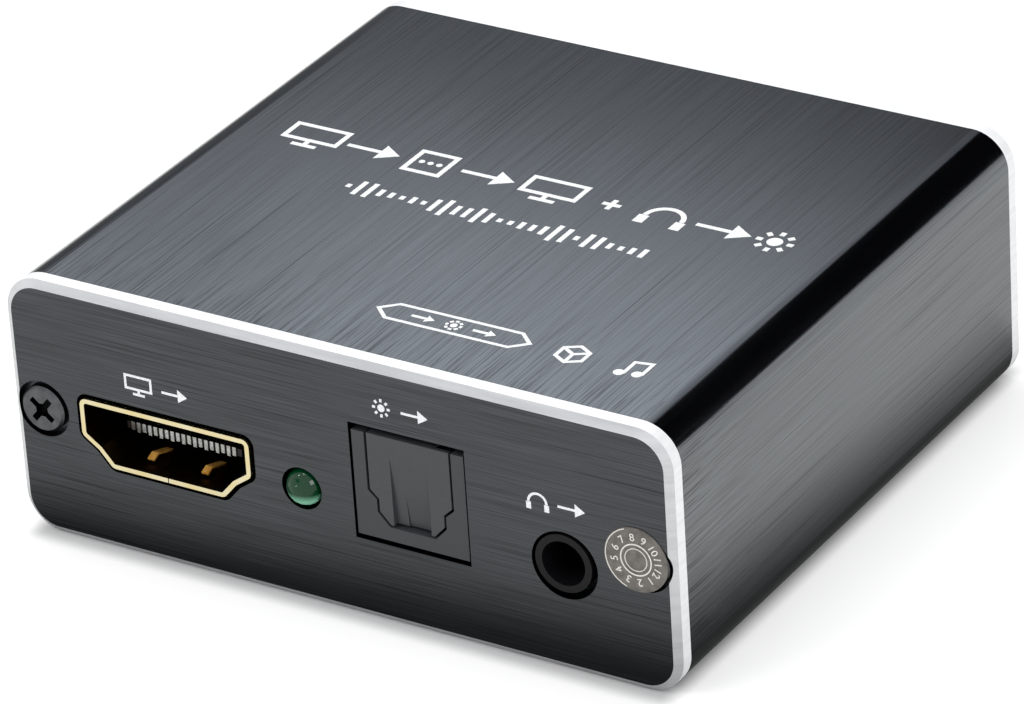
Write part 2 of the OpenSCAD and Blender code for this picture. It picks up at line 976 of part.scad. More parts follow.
module audio_jack_contacts() {
    near = audio_bore_d / 2 + press_gap;
    far = audio_w / 2 + press_gap;
    leg_y = audio_strip_l + audio_strip_run;
    color("#b9b9b6")
    at_front(audio_x, board_top)
    for (k = [0 : len(audio_spring_starts) - 1])
        translate([0, audio_spring_starts[k], 0])
            mirror([audio_spring_sides[k] > 0 ? 0 : 1, 0, 0]) {
                translate([0, 0, audio_lift - audio_strip_w / 2])
                    linear_extrude(height = audio_strip_w)
                        polygon(strip([
                            [near, 0], [near, audio_strip_l],
                            [far, leg_y], [far, leg_y + audio_leg_l]
                        ], -spring_sheet_t));
                block(
                    [far, leg_y, 0],
                    [far + spring_sheet_t, leg_y + audio_leg_l, audio_lift + audio_strip_w / 2]
                );
            }
}

// Power jack: a moulded block with a round nose, a centre pin and two terminals

module power_jack_housing() {
    body_y = panel_t + panel_gap;
    color("#1b1b1d")
    at_rear(power_x, board_top)
    difference() {
        union() {
            translate([0, 0, power_lift])
                bar_y(power_nose_r, 0, body_y + overrun);
            block([-power_w / 2, body_y, 0], [power_w / 2, power_depth, power_h]);
        }
        translate([0, 0, power_lift]) {
            bar_y(power_bore_d / 2, -overrun, power_bore_l);
            bar_y(power_pin_d / 2 + power_shoulder + press_gap, 0, power_depth + overrun);
        }
    }
}

// The pin has a shoulder in the block's back wall and is riveted over its terminal
module power_jack_pin() {
    color("#c9c9c6")
    at_rear(power_x, board_top + power_lift) {
        bar_y(power_pin_d / 2, power_pin_recess + power_pin_tip, power_bore_l);
        bar_y(power_pin_d / 2 + power_shoulder, power_bore_l, power_depth);
        bar_y(power_rivet_r, power_depth, power_depth + power_pin_end);
        translate([0, power_pin_recess, 0])
            rotate([-90, 0, 0])
                cylinder(
                    r1 = power_pin_d / 2 - power_pin_tip, r2 = power_pin_d / 2,
                    h = power_pin_tip
                );
    }
}

module power_jack_terminals() {
    color("#b9b9b6")
    at_rear(power_x, board_top) {
        difference() {
            block(
                [-power_tab_w / 2, power_depth, 0],
                [power_tab_w / 2, power_depth + power_tab_t, power_lift + power_tab_over]
            );
            translate([0, 0, power_lift])
                bar_y(power_rivet_r + press_gap, 0, power_depth + overrun);
        }
        block(
            [power_w / 2, power_side_tab_y, 0],
            [power_w / 2 + power_tab_t, power_side_tab_y + power_tab_w, power_side_tab_h]
        );
    }
}

// Mode switch: a moulded base in a bent steel frame, with a knob that slides along X

module switch_frame() {
    half = switch_w / 2 + switch_sheet_t;
    window_w = knob_w / 2 + switch_step + window_gap;
    window_h = stem_h / 2 + window_gap;
    color("#b4b5b7")
    at_rear(switch_x, board_top) {
        difference() {
            along_x(-half, half)
                polygon(strip([
                    [switch_y, switch_skirt], [switch_y, switch_h],
                    [switch_y + switch_l, switch_h]
                ], switch_sheet_t));
            block(
                [-window_w, 0, switch_mid - window_h],
                [window_w, switch_y + overrun, switch_mid + window_h]
            );
        }
        for (x = [-half, switch_w / 2])
            block([x, switch_y, 0], [x + switch_sheet_t, switch_y + switch_l, switch_h]);
    }
}

module switch_base() {
    room = slider_w / 2 + switch_step + window_gap;
    color("#2a2a2c")
    at_rear(switch_x, board_top)
    difference() {
        block([-switch_w / 2, switch_y, 0], [switch_w / 2, switch_y + switch_l, switch_h]);
        block(
            [-room, switch_y - overrun, switch_floor],
            [room, switch_y + switch_room_l, switch_roof]
        );
        for (x = row(terminal_count, switch_step))
            block(
                [
                    x - terminal_w / 2 - press_gap, terminal_y,
                    switch_mid - terminal_h / 2 - press_gap
                ],
                [
                    x + terminal_w / 2 + press_gap, switch_y + switch_l + overrun,
                    switch_mid - terminal_h / 2 + terminal_t + press_gap
                ]
            );
    }
}

module switch_knob() {
    color("#1f1f21")
    at_rear(switch_x, board_top) {
        block(
            [-slider_w / 2, slider_y, switch_floor + slide_gap],
            [slider_w / 2, slider_y + slider_l, switch_roof - slide_gap]
        );
        block(
            [-knob_w / 2, -knob_proud, switch_mid - stem_h / 2],
            [knob_w / 2, slider_y + slide_gap, switch_mid + stem_h / 2]
        );
    }
}

// The wiper's two crests bridge a pair of terminals in each place of the knob
module switch_wiper() {
    back = slider_y + slider_l;
    dip = wiper_rise * wiper_dip_share;
    color("#c8b070")
    at_rear(switch_x, board_top)
    translate([0, 0, switch_mid - wiper_h / 2])
        linear_extrude(height = wiper_h)
            polygon(strip([
                [-wiper_w / 2, back], [-switch_step / 2, back + wiper_rise],
                [0, back + dip], [switch_step / 2, back + wiper_rise], [wiper_w / 2, back]
            ], wiper_t));
}

module switch_terminals() {
    low = switch_mid - terminal_h / 2;
    back = switch_y + switch_l + press_gap;
    color("#b9b9b6")
    at_rear(switch_x, board_top)
    for (x = row(terminal_count, switch_step))
        along_x(x - terminal_w / 2, x + terminal_w / 2)
            polygon(strip([
                [terminal_y, low + terminal_h], [terminal_y, low], [back, low], [back, 0],
                [back + terminal_foot, 0]
            ], terminal_t));
}

// Parts on the board

module chip_body(w, l, h) {
    difference() {
        block([-w / 2, -l / 2, chip_gap], [w / 2, l / 2, chip_gap + h]);
        translate([
            2 * chip_notch_r - w / 2, l / 2 - 2 * chip_notch_r, h + chip_gap - chip_notch_depth
        ])
            cylinder(r = chip_notch_r, h = overrun);
    }
}

// Gull-wing leads along one side of a chip, which lies at a distance from its middle
module lead_row(half, h, count, pitch) {
    level = chip_gap + h / 2;
    for (x = row(count, pitch))
        along_x(x - chip_lead_w / 2, x + chip_lead_w / 2)
            polygon(strip([
                [half, level], [half + chip_lead_run, level],
                [half + chip_lead_run, 0], [half + chip_lead_run + chip_lead_foot, 0]
            ], chip_lead_t));
}

module main_chip() {
    color("#202124")
    on_board(main_chip_share)
        chip_body(main_chip_w, main_chip_w, main_chip_h);
}

module audio_chip() {
    color("#202124")
    on_board(audio_chip_share)
        chip_body(audio_chip_w, audio_chip_l, audio_chip_h);
}

module chip_leads() {
    color("#b9b9b6") {
        on_board(main_chip_share)
            for (a = [0, 90, 180, 270])
                rotate([0, 0, a])
                    lead_row(main_chip_w / 2, main_chip_h, main_lead_count, main_lead_pitch);
        on_board(audio_chip_share)
            for (a = [90, 270])
                rotate([0, 0, a])
                    lead_row(
                        audio_chip_w / 2, audio_chip_h, audio_lead_count, audio_lead_pitch
                    );
    }
}

module crystal() {
    color("#bfc0c2")
    on_board(crystal_share)
    linear_extrude(height = crystal_h)
    union() {
        square([crystal_l - crystal_w, crystal_w], center = true);
        for (x = row(2, crystal_l - crystal_w))
            translate([x, 0])
                circle(d = crystal_w);
    }
}

module capacitor_cans() {
    color("#c4c6c9")
    for (share = can_place_shares)
        on_board(share)
            translate([0, 0, can_base_h])
                cylinder(r = can_r, h = can_h);
}

module capacitor_bases() {
    half = can_base_w / 2;
    color("#222225")
    for (share = can_place_shares)
        on_board(share)
            linear_extrude(height = can_base_h)
                polygon([
                    [-half, -half], [half, -half], [half, half - can_base_cut],
                    [half - can_base_cut, half], [can_base_cut - half, half],
                    [-half, half - can_base_cut]
                ]);
}

module power_coil() {
    half = coil_w / 2;
    cut = half - coil_cut;
    color("#3c3c40")
    on_board(coil_share)
    difference() {
        linear_extrude(height = coil_h)
            polygon([
                [-cut, -half], [cut, -half], [half, -cut], [half, cut],
                [cut, half], [-cut, half], [-half, cut], [-half, -cut]
            ]);
        translate([0, 0, coil_h - coil_drum_depth])
        difference() {
            cylinder(r = coil_drum_r + coil_drum_depth, h = overrun);
            cylinder(r = coil_drum_r, h = overrun);
        }
    }
}

// A row of small parts beside a chip, whose half-width with any leads is given
module small_part_row(half, count) {
    near = half + small_part_gap;
    for (x = row(count, small_part_pitch))
        block(
            [x - small_part_l / 2, near, 0],
            [x + small_part_l / 2, near + small_part_w, small_part_h]
        );
}

module small_parts() {
    lead_reach = chip_lead_run + chip_lead_foot + chip_lead_t;
    color("#a89878") {
        on_board(main_chip_share)
            for (a = [0, 90, 180, 270])
                rotate([0, 0, a])
                    small_part_row(main_chip_w / 2 + lead_reach, 3);
        on_board(audio_chip_share)
            for (a = [0, 180])
                rotate([0, 0, a])
                    small_part_row(audio_chip_l / 2, 2);
        on_board(coil_share)
            for (a = [0, 180])
                rotate([0, 0, a])
                    small_part_row(coil_w / 2, 2);
    }
}

case_tube();
front_panel();
rear_panel();
front_screws();
rear_screws();
seal();
circuit_board();
video_out_shell();
video_out_insulator();
video_out_contacts();
video_in_shell();
video_in_insulator();
video_in_contacts();
optical_housing();
optical_shutter();
shutter_pin();
shutter_spring();
optical_emitter();
emitter_leads();
lamp_lens();
lamp_leads();
audio_jack_housing();
audio_jack_contacts();
power_jack_housing();
power_jack_pin();
power_jack_terminals();
switch_frame();
switch_base();
switch_knob();
switch_wiper();
switch_terminals();
main_chip();
audio_chip();
chip_leads();
crystal();
capacitor_cans();
capacitor_bases();
power_coil();
small_parts();
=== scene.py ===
# Looks of a small desktop box that takes the sound out of a video signal: a brushed dark
# aluminium case with bright-edged end panels and a row of sockets in each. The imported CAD
# part is the frame; this script gives it finishes, print and studio light. Metres, +Z up.

import math

import bpy
from mathutils import Matrix, Vector


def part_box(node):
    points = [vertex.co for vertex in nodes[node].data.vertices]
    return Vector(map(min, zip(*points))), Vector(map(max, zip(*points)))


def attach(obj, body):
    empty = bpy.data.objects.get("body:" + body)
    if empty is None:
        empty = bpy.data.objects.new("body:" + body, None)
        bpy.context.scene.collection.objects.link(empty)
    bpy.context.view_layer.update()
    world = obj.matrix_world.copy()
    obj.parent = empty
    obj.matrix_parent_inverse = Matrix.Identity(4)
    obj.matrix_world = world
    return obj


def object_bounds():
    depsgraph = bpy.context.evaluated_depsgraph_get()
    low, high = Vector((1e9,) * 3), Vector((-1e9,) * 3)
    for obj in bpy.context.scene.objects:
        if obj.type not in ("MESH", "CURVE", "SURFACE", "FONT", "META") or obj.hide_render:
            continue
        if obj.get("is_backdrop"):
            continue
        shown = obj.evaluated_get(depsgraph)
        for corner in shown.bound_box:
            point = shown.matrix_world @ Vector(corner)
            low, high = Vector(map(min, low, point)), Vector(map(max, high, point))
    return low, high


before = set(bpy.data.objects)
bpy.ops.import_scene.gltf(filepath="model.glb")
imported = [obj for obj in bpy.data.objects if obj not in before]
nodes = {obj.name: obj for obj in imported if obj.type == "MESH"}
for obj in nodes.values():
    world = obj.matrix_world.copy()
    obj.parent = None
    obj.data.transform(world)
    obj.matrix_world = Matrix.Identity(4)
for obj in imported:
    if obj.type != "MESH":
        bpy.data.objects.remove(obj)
bare_low, bare_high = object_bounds()
mm = 0.001

# Camera: a long lens from the front right, above the box, with the slight lean of the
# photograph. The place was worked out from the straight edges of the case.

camera_azimuth = math.radians(33.13)
camera_height_angle = math.radians(28.71)
camera_lean = math.radians(-3.74)
camera_distance = 483.2 * mm
camera_aim = Vector((-0.52, -0.92, 8.88)) * mm
camera_lens = 225.04
camera_sensor = 36
camera_near = 10 * mm

camera_data = bpy.data.cameras.new("camera")
camera_data.lens = camera_lens
camera_data.sensor_width = camera_sensor
camera_data.clip_start = camera_near
camera = bpy.data.objects.new("camera", camera_data)
bpy.context.scene.collection.objects.link(camera)
outward = Vector((
    math.sin(camera_azimuth) * math.cos(camera_height_angle),
    -math.cos(camera_azimuth) * math.cos(camera_height_angle),
    math.sin(camera_height_angle),
))
level_right = (-outward).cross(Vector((0, 0, 1))).normalized()
level_up = level_right.cross(-outward)
camera_right = math.cos(camera_lean) * level_right + math.sin(camera_lean) * level_up
camera_up = math.cos(camera_lean) * level_up - math.sin(camera_lean) * level_right
camera.matrix_world = (
    Matrix.Translation(camera_aim + camera_distance * outward)
    @ Matrix((camera_right, camera_up, outward)).transposed().to_4x4()
)
bpy.context.scene.camera = camera
bpy.context.scene.view_settings.view_transform = "Standard"

# Studio room: a white light tent. Lenses, metal and glass see it white, and it lights
# the box softly from all round.

room_glow = 0.8
room_white = 1


def link(tree, source, socket):
    """Joins an output to a socket."""
    tree.links.new(source, socket)


def add(tree, kind, *sources, operation=None, easing=None, out=0):
    """Adds a shader node whose sockets, in their order, take the sources: outputs of
    other nodes, plain values, or None for a socket that stays as it is. Returns one of
    the new node's outputs."""
    made = tree.nodes.new("ShaderNode" + kind)
    if operation:
        made.operation = operation
    if easing:
        made.interpolation_type = easing
    for source, socket in zip(sources, made.inputs):
        if isinstance(source, bpy.types.NodeSocket):
            link(tree, source, socket)
        elif source is not None:
            socket.default_value = source
    return made.outputs[out]


world = bpy.data.worlds.new("studio")
world.use_nodes = True
bpy.context.scene.world = world
room = world.node_tree
room.nodes.clear()
room_rays = room.nodes.new("ShaderNodeLightPath").outputs
seen_white = add(room, "Background", None, room_white)
soft_fill = add(room, "Background", None, room_glow)
straight_or_mirrored = add(
    room, "Math", room_rays["Is Camera Ray"], room_rays["Is Glossy Ray"], operation="MAXIMUM",
)
any_sight = add(
    room, "Math", straight_or_mirrored, room_rays["Is Transmission Ray"], operation="MAXIMUM",
)
room_mix = add(room, "MixShader", any_sight, soft_fill, seen_white)
room_out = room.nodes.new("ShaderNodeOutputWorld")
link(room, room_mix, room_out.inputs["Surface"])

# Studio table: a pale sheet under the box that keeps its shadow. Its own glow wanes in a
# narrow margin round the foot of the box, a painted contact shadow there. In mirrored
# light the sheet is dim close to the box, a painted shade, and white further out.

table_half = 3.0
table_drop = 0.02 * mm
table_paint = (0.5, 0.5, 0.505, 1)
table_lift_to_white = 0.53
painted_shadow_lift = 0.05
painted_shadow_near = -0.1 * mm
painted_shadow_far = 1.9 * mm
foot_inset = 1.75 * mm
foot_half = (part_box("case_tube")[1].x - foot_inset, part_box("rear_panel")[1].y, bare_high.z)
shade_near = -0.5 * mm
shade_far = 9 * mm
shade_lean = (-0.05, 0.05, 0)
shade_floor = 0.08
shade_open = 0.84
mirrored_tint = (1, 1, 0.97, 1)


def flat_card(name, centre, across, upward):
    """A rectangle through centre, whose half-sides are the two vectors."""
    corners = [
        centre - across - upward, centre + across - upward,
        centre + across + upward, centre - across + upward,
    ]
    mesh = bpy.data.meshes.new(name)
    mesh.from_pydata([tuple(c) for c in corners], [], [(0, 1, 2, 3)])
    card = bpy.data.objects.new(name, mesh)
    bpy.context.scene.collection.objects.link(card)
    card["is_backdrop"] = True
    return card


table = flat_card(
    "studio_table", Vector((0, 0, -table_drop)),
    Vector((table_half, 0, 0)), Vector((0, table_half, 0)),
)
sheet = bpy.data.materials.new("table_sheet")
sheet.use_nodes = True
cloth = sheet.node_tree
cloth.nodes.clear()
spot = add(cloth, "TexCoord", out="Object")
folded = add(cloth, "VectorMath", spot, operation="ABSOLUTE")

past_foot = add(cloth, "VectorMath", folded, foot_half, operation="SUBTRACT")
past_foot = add(cloth, "VectorMath", past_foot, (0, 0, 0), operation="MAXIMUM")
from_foot = add(cloth, "VectorMath", past_foot, operation="LENGTH", out="Value")
# The sheet's glow fades near the foot of the box: a painted contact shadow.
lift = add(
    cloth, "MapRange", from_foot, painted_shadow_near, painted_shadow_far, painted_shadow_lift,
    table_lift_to_white, easing="SMOOTHSTEP",
)
paper = add(cloth, "BsdfDiffuse", table_paint)
lit_paper = add(cloth, "AddShader", paper, add(cloth, "Emission", None, lift))

# In mirrored light the sheet glows less near the box: painted shade, not a cast shadow.
past_box = add(cloth, "VectorMath", folded, bare_high, operation="SUBTRACT")
past_side = add(cloth, "SeparateXYZ", past_box, out="X")
past_end = add(cloth, "SeparateXYZ", past_box, out="Y")
furthest = add(cloth, "Math", past_side, past_end, operation="MAXIMUM")
lean = add(cloth, "VectorMath", spot, shade_lean, operation="DOT_PRODUCT", out="Value")
leaned = add(cloth, "Math", furthest, lean, operation="ADD")
mirrored_painted_shade = add(
    cloth, "MapRange", leaned, shade_near, shade_far, shade_floor, shade_open,
    easing="SMOOTHSTEP",
)
mirrored = add(cloth, "Emission", mirrored_tint, mirrored_painted_shade)

mirror_ray = add(cloth, "LightPath", out="Is Glossy Ray")
by_ray = add(cloth, "MixShader", mirror_ray, lit_paper, mirrored)
sheet_out = cloth.nodes.new("ShaderNodeOutputMaterial")
link(cloth, by_ray, sheet_out.inputs["Surface"])
table.data.materials.append(sheet)

# Cards round the box, which only its shine shows: a graded one behind it, brighter
# upwards and dimmer at its ends, which the top mirrors, a black one that draws the black
# line along the long corner, and a grey one overhead that dulls the bevel along the top.

cards_y = 150 * mm
graded_left = -220 * mm
graded_right = -6 * mm
graded_top = 260 * mm
graded_slope = (0.05, 0, 1)
graded_dark_at = 92 * mm
graded_bright_at = 131 * mm
graded_dark = 0.24
graded_bright = 1.18
graded_tint = (0.94, 0.98, 1.04, 1)
left_end = (-150 * mm, -104 * mm, 0.7)
right_end = (-18 * mm, -80 * mm, 0.4)
black_right = 205 * mm
black_low = 36 * mm
black_felt = (0.003, 0.003, 0.004, 1)
grey_middle = (-204 * mm, -320 * mm, 250 * mm)
grey_half = 105 * mm
grey_paper = (0.2, 0.2, 0.21, 1)


def shine_card(name, centre, across, upward, colour):
    """A glowing card that only mirrored light meets; the vectors are its half-sides.

    Returns its node tree and its glow."""
    card = flat_card(name, Vector(centre), Vector(across), Vector(upward))
    card.visible_camera = False
    card.visible_diffuse = False
    card.visible_shadow = False
    card.visible_transmission = False
    made = bpy.data.materials.new(name)
    made.use_nodes = True
    made.node_tree.nodes.clear()
    card.data.materials.append(made)
    glow = made.node_tree.nodes.new("ShaderNodeEmission")
    glow.inputs["Color"].default_value = colour
    card_out = made.node_tree.nodes.new("ShaderNodeOutputMaterial")
    link(made.node_tree, glow.outputs[0], card_out.inputs["Surface"])
    return made.node_tree, glow


def card_behind(name, left, right, low, high, colour):
    """An upright card behind the box."""
    middle = ((left + right) / 2, cards_y, (low + high) / 2)
    half_across, half_up = (right - left) / 2, (high - low) / 2
    return shine_card(name, middle, (half_across, 0, 0), (0, 0, half_up), colour)


graded, graded_glow = card_behind(
    "graded_card", graded_left, graded_right, 0, graded_top, graded_tint,
)
card_spot = add(graded, "TexCoord", out="Object")
card_x = add(graded, "SeparateXYZ", card_spot, out="X")
card_rise = add(
    graded, "VectorMath", card_spot, graded_slope, operation="DOT_PRODUCT", out="Value",
)
card_level = add(
    graded, "MapRange", card_rise, graded_dark_at, graded_bright_at, graded_dark, graded_bright,
)
for dim_at, full_at, dim in (left_end, right_end):
    card_dim = add(graded, "MapRange", card_x, dim_at, full_at, dim, 1, easing="SMOOTHSTEP")
    card_level = add(graded, "Math", card_level, card_dim, operation="MULTIPLY")
link(graded, card_level, graded_glow.inputs["Strength"])
card_behind("black_card", graded_right, black_right, black_low, graded_top, black_felt)
shine_card("grey_card", grey_middle, (grey_half, 0, 0), (0, grey_half, 0), grey_paper)

# Lamps, at a plain level: a large soft one from the front left, above, which mirrors
# don't show, a weaker one from the right, one overhead, and two small ones at the left
# that leave two points of light on round and glossy parts.

key_lamp = ((-0.28, -0.42, 0.5), 0.3, 1.6)
low_glint = ((-0.38, -0.69, 0.12), 0.03, 0.2)
high_glint = ((-0.384, -0.24, 0.656), 0.03, 0.2)
side_lamp = ((0.5, -0.2, 0.35), 0.25, 0.8)
top_lamp = ((-0.05, 0.1, 0.6), 0.35, 1.6)


def soft_lamp(name, where, size, watts):
    """A square lamp at a place, that faces the middle of the box's foot. The size is its
    side in metres."""
    light = bpy.data.lights.new(name, "AREA")
    light.shape = "SQUARE"
    light.size = size
    light.energy = watts
    lamp = bpy.data.objects.new(name, light)
    bpy.context.scene.collection.objects.link(lamp)
    lamp.location = where
    lamp.rotation_mode = "QUATERNION"
    lamp.rotation_quaternion = Vector(where).to_track_quat("Z", "Y")
    lamp.visible_camera = False
    return lamp


key = soft_lamp("key_lamp", *key_lamp)
key.visible_glossy = False
soft_lamp("low_glint", *low_glint)
soft_lamp("high_glint", *high_glint)
soft_lamp("side_lamp", *side_lamp)
soft_lamp("top_lamp", *top_lamp)

# Case tube: one extruded aluminium tube, brushed along its length and anodised dark
# grey. The board is slid into its slots, and four screws go into its channels. The brush
# left a few deeper lines, and short ones where it was set down at the front.

tube_dark = "#74777b"
tube_light = "#85898d"
tube_brush = (0.1 * mm, 16 * mm, 0.1 * mm)
tube_relief = 0.002 * mm
tube_gloss = (0.1, 0.18)
long_lines = (0.08 * mm, 26 * mm, 0.08 * mm)
long_line_share = 0.35
short_lines = (0.11 * mm, 7 * mm, 0.11 * mm)
short_line_share = 0.45
line_dark = 0.5
short_line_fade = (-25 * mm, -10 * mm, 1)
grain_roughness = 0.6
line_softness = 0.05


def shade(code):
    """A screen colour such as #54575b as the linear colour that a shader takes."""
    parts = [int(code[k:k + 2], 16) / 255 for k in (1, 3, 5)]
    linear = [c / 12.92 if c <= 0.04045 else ((c + 0.055) / 1.055) ** 2.4 for c in parts]
    return (*linear, 1)


def new_finish(name, metallic, roughness):
    """A new material, with its node tree and its shader."""
    made = bpy.data.materials.new(name)
    made.use_nodes = True
    tree = made.node_tree
    shader = tree.nodes["Principled BSDF"]
    shader.inputs["Metallic"].default_value = metallic
    shader.inputs["Roughness"].default_value = roughness
    return made, tree, shader


def grain(tree, size, detail=3):
    """Noise whose lumps have a size along each axis."""
    stretch = tree.nodes.new("ShaderNodeMapping")
    stretch.inputs["Scale"].default_value = [1 / s for s in size]
    noise = tree.nodes.new("ShaderNodeTexNoise")
    noise.inputs["Scale"].default_value = 1
    noise.inputs["Detail"].default_value = detail
    noise.inputs["Roughness"].default_value = grain_roughness
    link(tree, add(tree, "TexCoord", out="Object"), stretch.inputs["Vector"])
    link(tree, stretch.outputs["Vector"], noise.inputs["Vector"])
    return noise.outputs["Fac"]


def two_tone(tree, factor, dark, light, shader, low=0.36, high=0.64):
    """Base colour from dark to light as the factor rises from low to high."""
    ramp = tree.nodes.new("ShaderNodeValToRGB")
    ramp.color_ramp.elements[0].position = low
    ramp.color_ramp.elements[0].color = shade(dark)
    ramp.color_ramp.elements[1].position = high
    ramp.color_ramp.elements[1].color = shade(light)
    link(tree, factor, ramp.inputs["Fac"])
    link(tree, ramp.outputs["Color"], shader.inputs["Base Color"])


def uneven_gloss(tree, factor, low, high, shader):
    """Roughness from low to high with the factor."""
    spread = add(tree, "MapRange", factor, 0, 1, low, high)
    link(tree, spread, shader.inputs["Roughness"])


def relief(tree, factor, depth, shader):
    """Bumps as high as the depth."""
    bump = tree.nodes.new("ShaderNodeBump")
    bump.inputs["Strength"].default_value = 1
    bump.inputs["Distance"].default_value = depth
    link(tree, factor, bump.inputs["Height"])
    link(tree, bump.outputs["Normal"], shader.inputs["Normal"])


def brushed(name, dark, light, size, gloss, depth=0, metallic=1):
    """Brushed metal: streaks of tone, of gloss and, where it has a depth, of relief."""
    made, tree, shader = new_finish(name, metallic, gloss[0])
    streaks = grain(tree, size, detail=4)
    two_tone(tree, streaks, dark, light, shader)
    uneven_gloss(tree, streaks, *gloss, shader)
    if depth:
        relief(tree, streaks, depth, shader)
    return made


def deep_lines(made, size, share, darkest, along=None):
    """Darkens a few thin lines, where the brush cut deeper, in a brushed finish.

    along holds the place on Y where they are darkest, the place where they fade out,
    and their level there, where 1 is none."""
    tree = made.node_tree
    shader = tree.nodes["Principled BSDF"]
    tone = shader.inputs["Base Color"].links[0].from_socket
    if along:
        spot_y = add(tree, "SeparateXYZ", add(tree, "TexCoord", out="Object"), out="Y")
        start, end, faint = along
        darkest = add(tree, "MapRange", spot_y, start, end, darkest, faint)
    fine_grain = grain(tree, size, detail=1)
    cut = add(tree, "MapRange", fine_grain, share - line_softness, share, darkest, 1)
    darker = tree.nodes.new("ShaderNodeVectorMath")
    darker.operation = "SCALE"
    link(tree, tone, darker.inputs[0])
    link(tree, cut, darker.inputs["Scale"])
    link(tree, darker.outputs[0], shader.inputs["Base Color"])


def dress(node, slot, *finishes):
    """Gives a CAD node its finishes; the first one covers all of it."""
    piece = nodes[node]
    piece.data.materials.clear()
    for made in finishes:
        piece.data.materials.append(made)
    for face in piece.data.polygons:
        face.material_index = 0
    return piece


tube_finish = brushed(
    "brushed_tube", tube_dark, tube_light, tube_brush, tube_gloss, tube_relief,
)
deep_lines(tube_finish, long_lines, long_line_share, line_dark)
deep_lines(tube_finish, short_lines, short_line_share, line_dark, short_line_fade)
dress("case_tube", "anodised_tube", tube_finish)

# End panels: aluminium plates, brushed across and anodised dark, whose edges were then
# cut bright all round, so that a bevel and a band beside the tube shine like silver.
# Two screws hold each to the tube. The walls of the cuts are painted near black, as painted
# shade.

panel_dark = "#4b4d50"
panel_light = "#5f6266"
panel_brush = (11 * mm, 0.1 * mm, 0.1 * mm)
panel_relief = 0.003 * mm
panel_gloss = (0.26, 0.36)
panel_lines = (18 * mm, 0.08 * mm, 0.08 * mm)
panel_line_share = 0.35
panel_line_dark = 0.55
bright_dark = "#cbcdd0"
bright_light = "#d6d8da"
bright_marks = (6 * mm, 6 * mm, 0.4 * mm)
bright_gloss = (0.28, 0.34)
bright_metallic = 0.5
band_dark = "#eceef0"
band_light = "#f6f7f8"
band_marks = (5 * mm, 5 * mm, 0.4 * mm)
wall_shade_dark = "#09090a"
wall_shade_light = "#151517"
wall_lumps = (0.2 * mm, 0.2 * mm, 0.2 * mm)
rim_margin = 0.01 * mm
corner_reach = 3.1 * mm
flat_side = 0.99
square_edge = 0.1

panel_finish = brushed(
    "brushed_panel", panel_dark, panel_light, panel_brush, panel_gloss, panel_relief,
)
deep_lines(panel_finish, panel_lines, panel_line_share, panel_line_dark)
bright_finish = brushed(
    "bright_cut_edge", bright_dark, bright_light, bright_marks, bright_gloss,
    metallic=bright_metallic,
)


def plain(name, dark, light, size, metallic, roughness, depth=0):
    """A finish with a fine grain: two tones, and a relief where it has a depth."""
    made, tree, shader = new_finish(name, metallic, roughness)
    lumps = grain(tree, size)
    two_tone(tree, lumps, dark, light, shader)
    if depth:
        relief(tree, lumps, depth, shader)
    return made


band_finish = plain(
    "bright_band", band_dark, band_light, band_marks, metallic=0.2, roughness=0.4,
)
# The cuts' walls are painted near black: painted shade inside the holes.
wall_shade_finish = plain(
    "cut_wall_painted_shade", wall_shade_dark, wall_shade_light, wall_lumps, metallic=1, roughness=0.45,
)


def edge_parts(node):
    """Sorts a panel's faces: 0 the flat sides, 1 the bevel, 2 the cuts' walls in painted shade,
    3 the band.
    """
    piece = nodes[node]
    low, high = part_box(node)
    for face in piece.data.polygons:
        if abs(face.normal.y) > flat_side:
            face.material_index = 0
            continue
        points = [piece.data.vertices[v].co for v in face.vertices]
        from_edge = min(
            min(p.x - low.x, high.x - p.x, p.z - low.z, high.z - p.z) for p in points
        )
        near_corner = all(
            abs(p.x) > high.x - corner_reach
            and abs(p.z - high.z / 2) > high.z / 2 - corner_reach
            for p in points
        )
        rim = from_edge < rim_margin or near_corner
        bevel_or_band = 3 if abs(face.normal.y) < square_edge else 1
        face.material_index = bevel_or_band if rim else 2


for node in ("front_panel", "rear_panel"):
    dress(node, "panel_aluminium", panel_finish, bright_finish, wall_shade_finish, band_finish)
    edge_parts(node)

# Panel screws: flat-headed steel screws with a cross recess, turned and blackened a
# little, flush with the panel in their counterbores. The recess is painted near black, as
# painted shade.

screw_dark = "#5c5e61"
screw_light = "#6d6f72"
screw_marks = (0.9 * mm, 0.9 * mm, 0.9 * mm)
screw_gloss = (0.3, 0.36)
recess_shade_dark = "#0c0c0d"
recess_shade_light = "#18181a"
recess_reach = 1.3 * mm
recess_shallow = 0.001 * mm
recess_deep = 0.7 * mm

screw_finish = brushed("screw_steel", screw_dark, screw_light, screw_marks, screw_gloss)
recess_shade_finish = plain(
    "screw_recess_painted_shade", recess_shade_dark, recess_shade_light, wall_lumps, metallic=1, roughness=0.5,
)
for node in ("front_screws", "rear_screws"):
    piece = dress(node, "screw_steel", screw_finish, recess_shade_finish)
    low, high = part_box(node)
    face_y = low.y if node == "front_screws" else high.y
    head_r = (high.z - low.z) / 2
    for face in piece.data.polygons:
        centre = face.center
        hub_x = math.copysign(high.x - head_r, centre.x)
        reach = math.hypot(centre.x - hub_x, centre.z - low.z - head_r)
        # Faces inside the cross recess take the painted shade.
        if recess_shallow < abs(centre.y - face_y) < recess_deep and reach < recess_reach:
            face.material_index = 1

# Film seal: a grey film disc over the right front screw, printed with two rings, part of
# an outline, and plain numbers. It goes on last and tears when the box is opened.

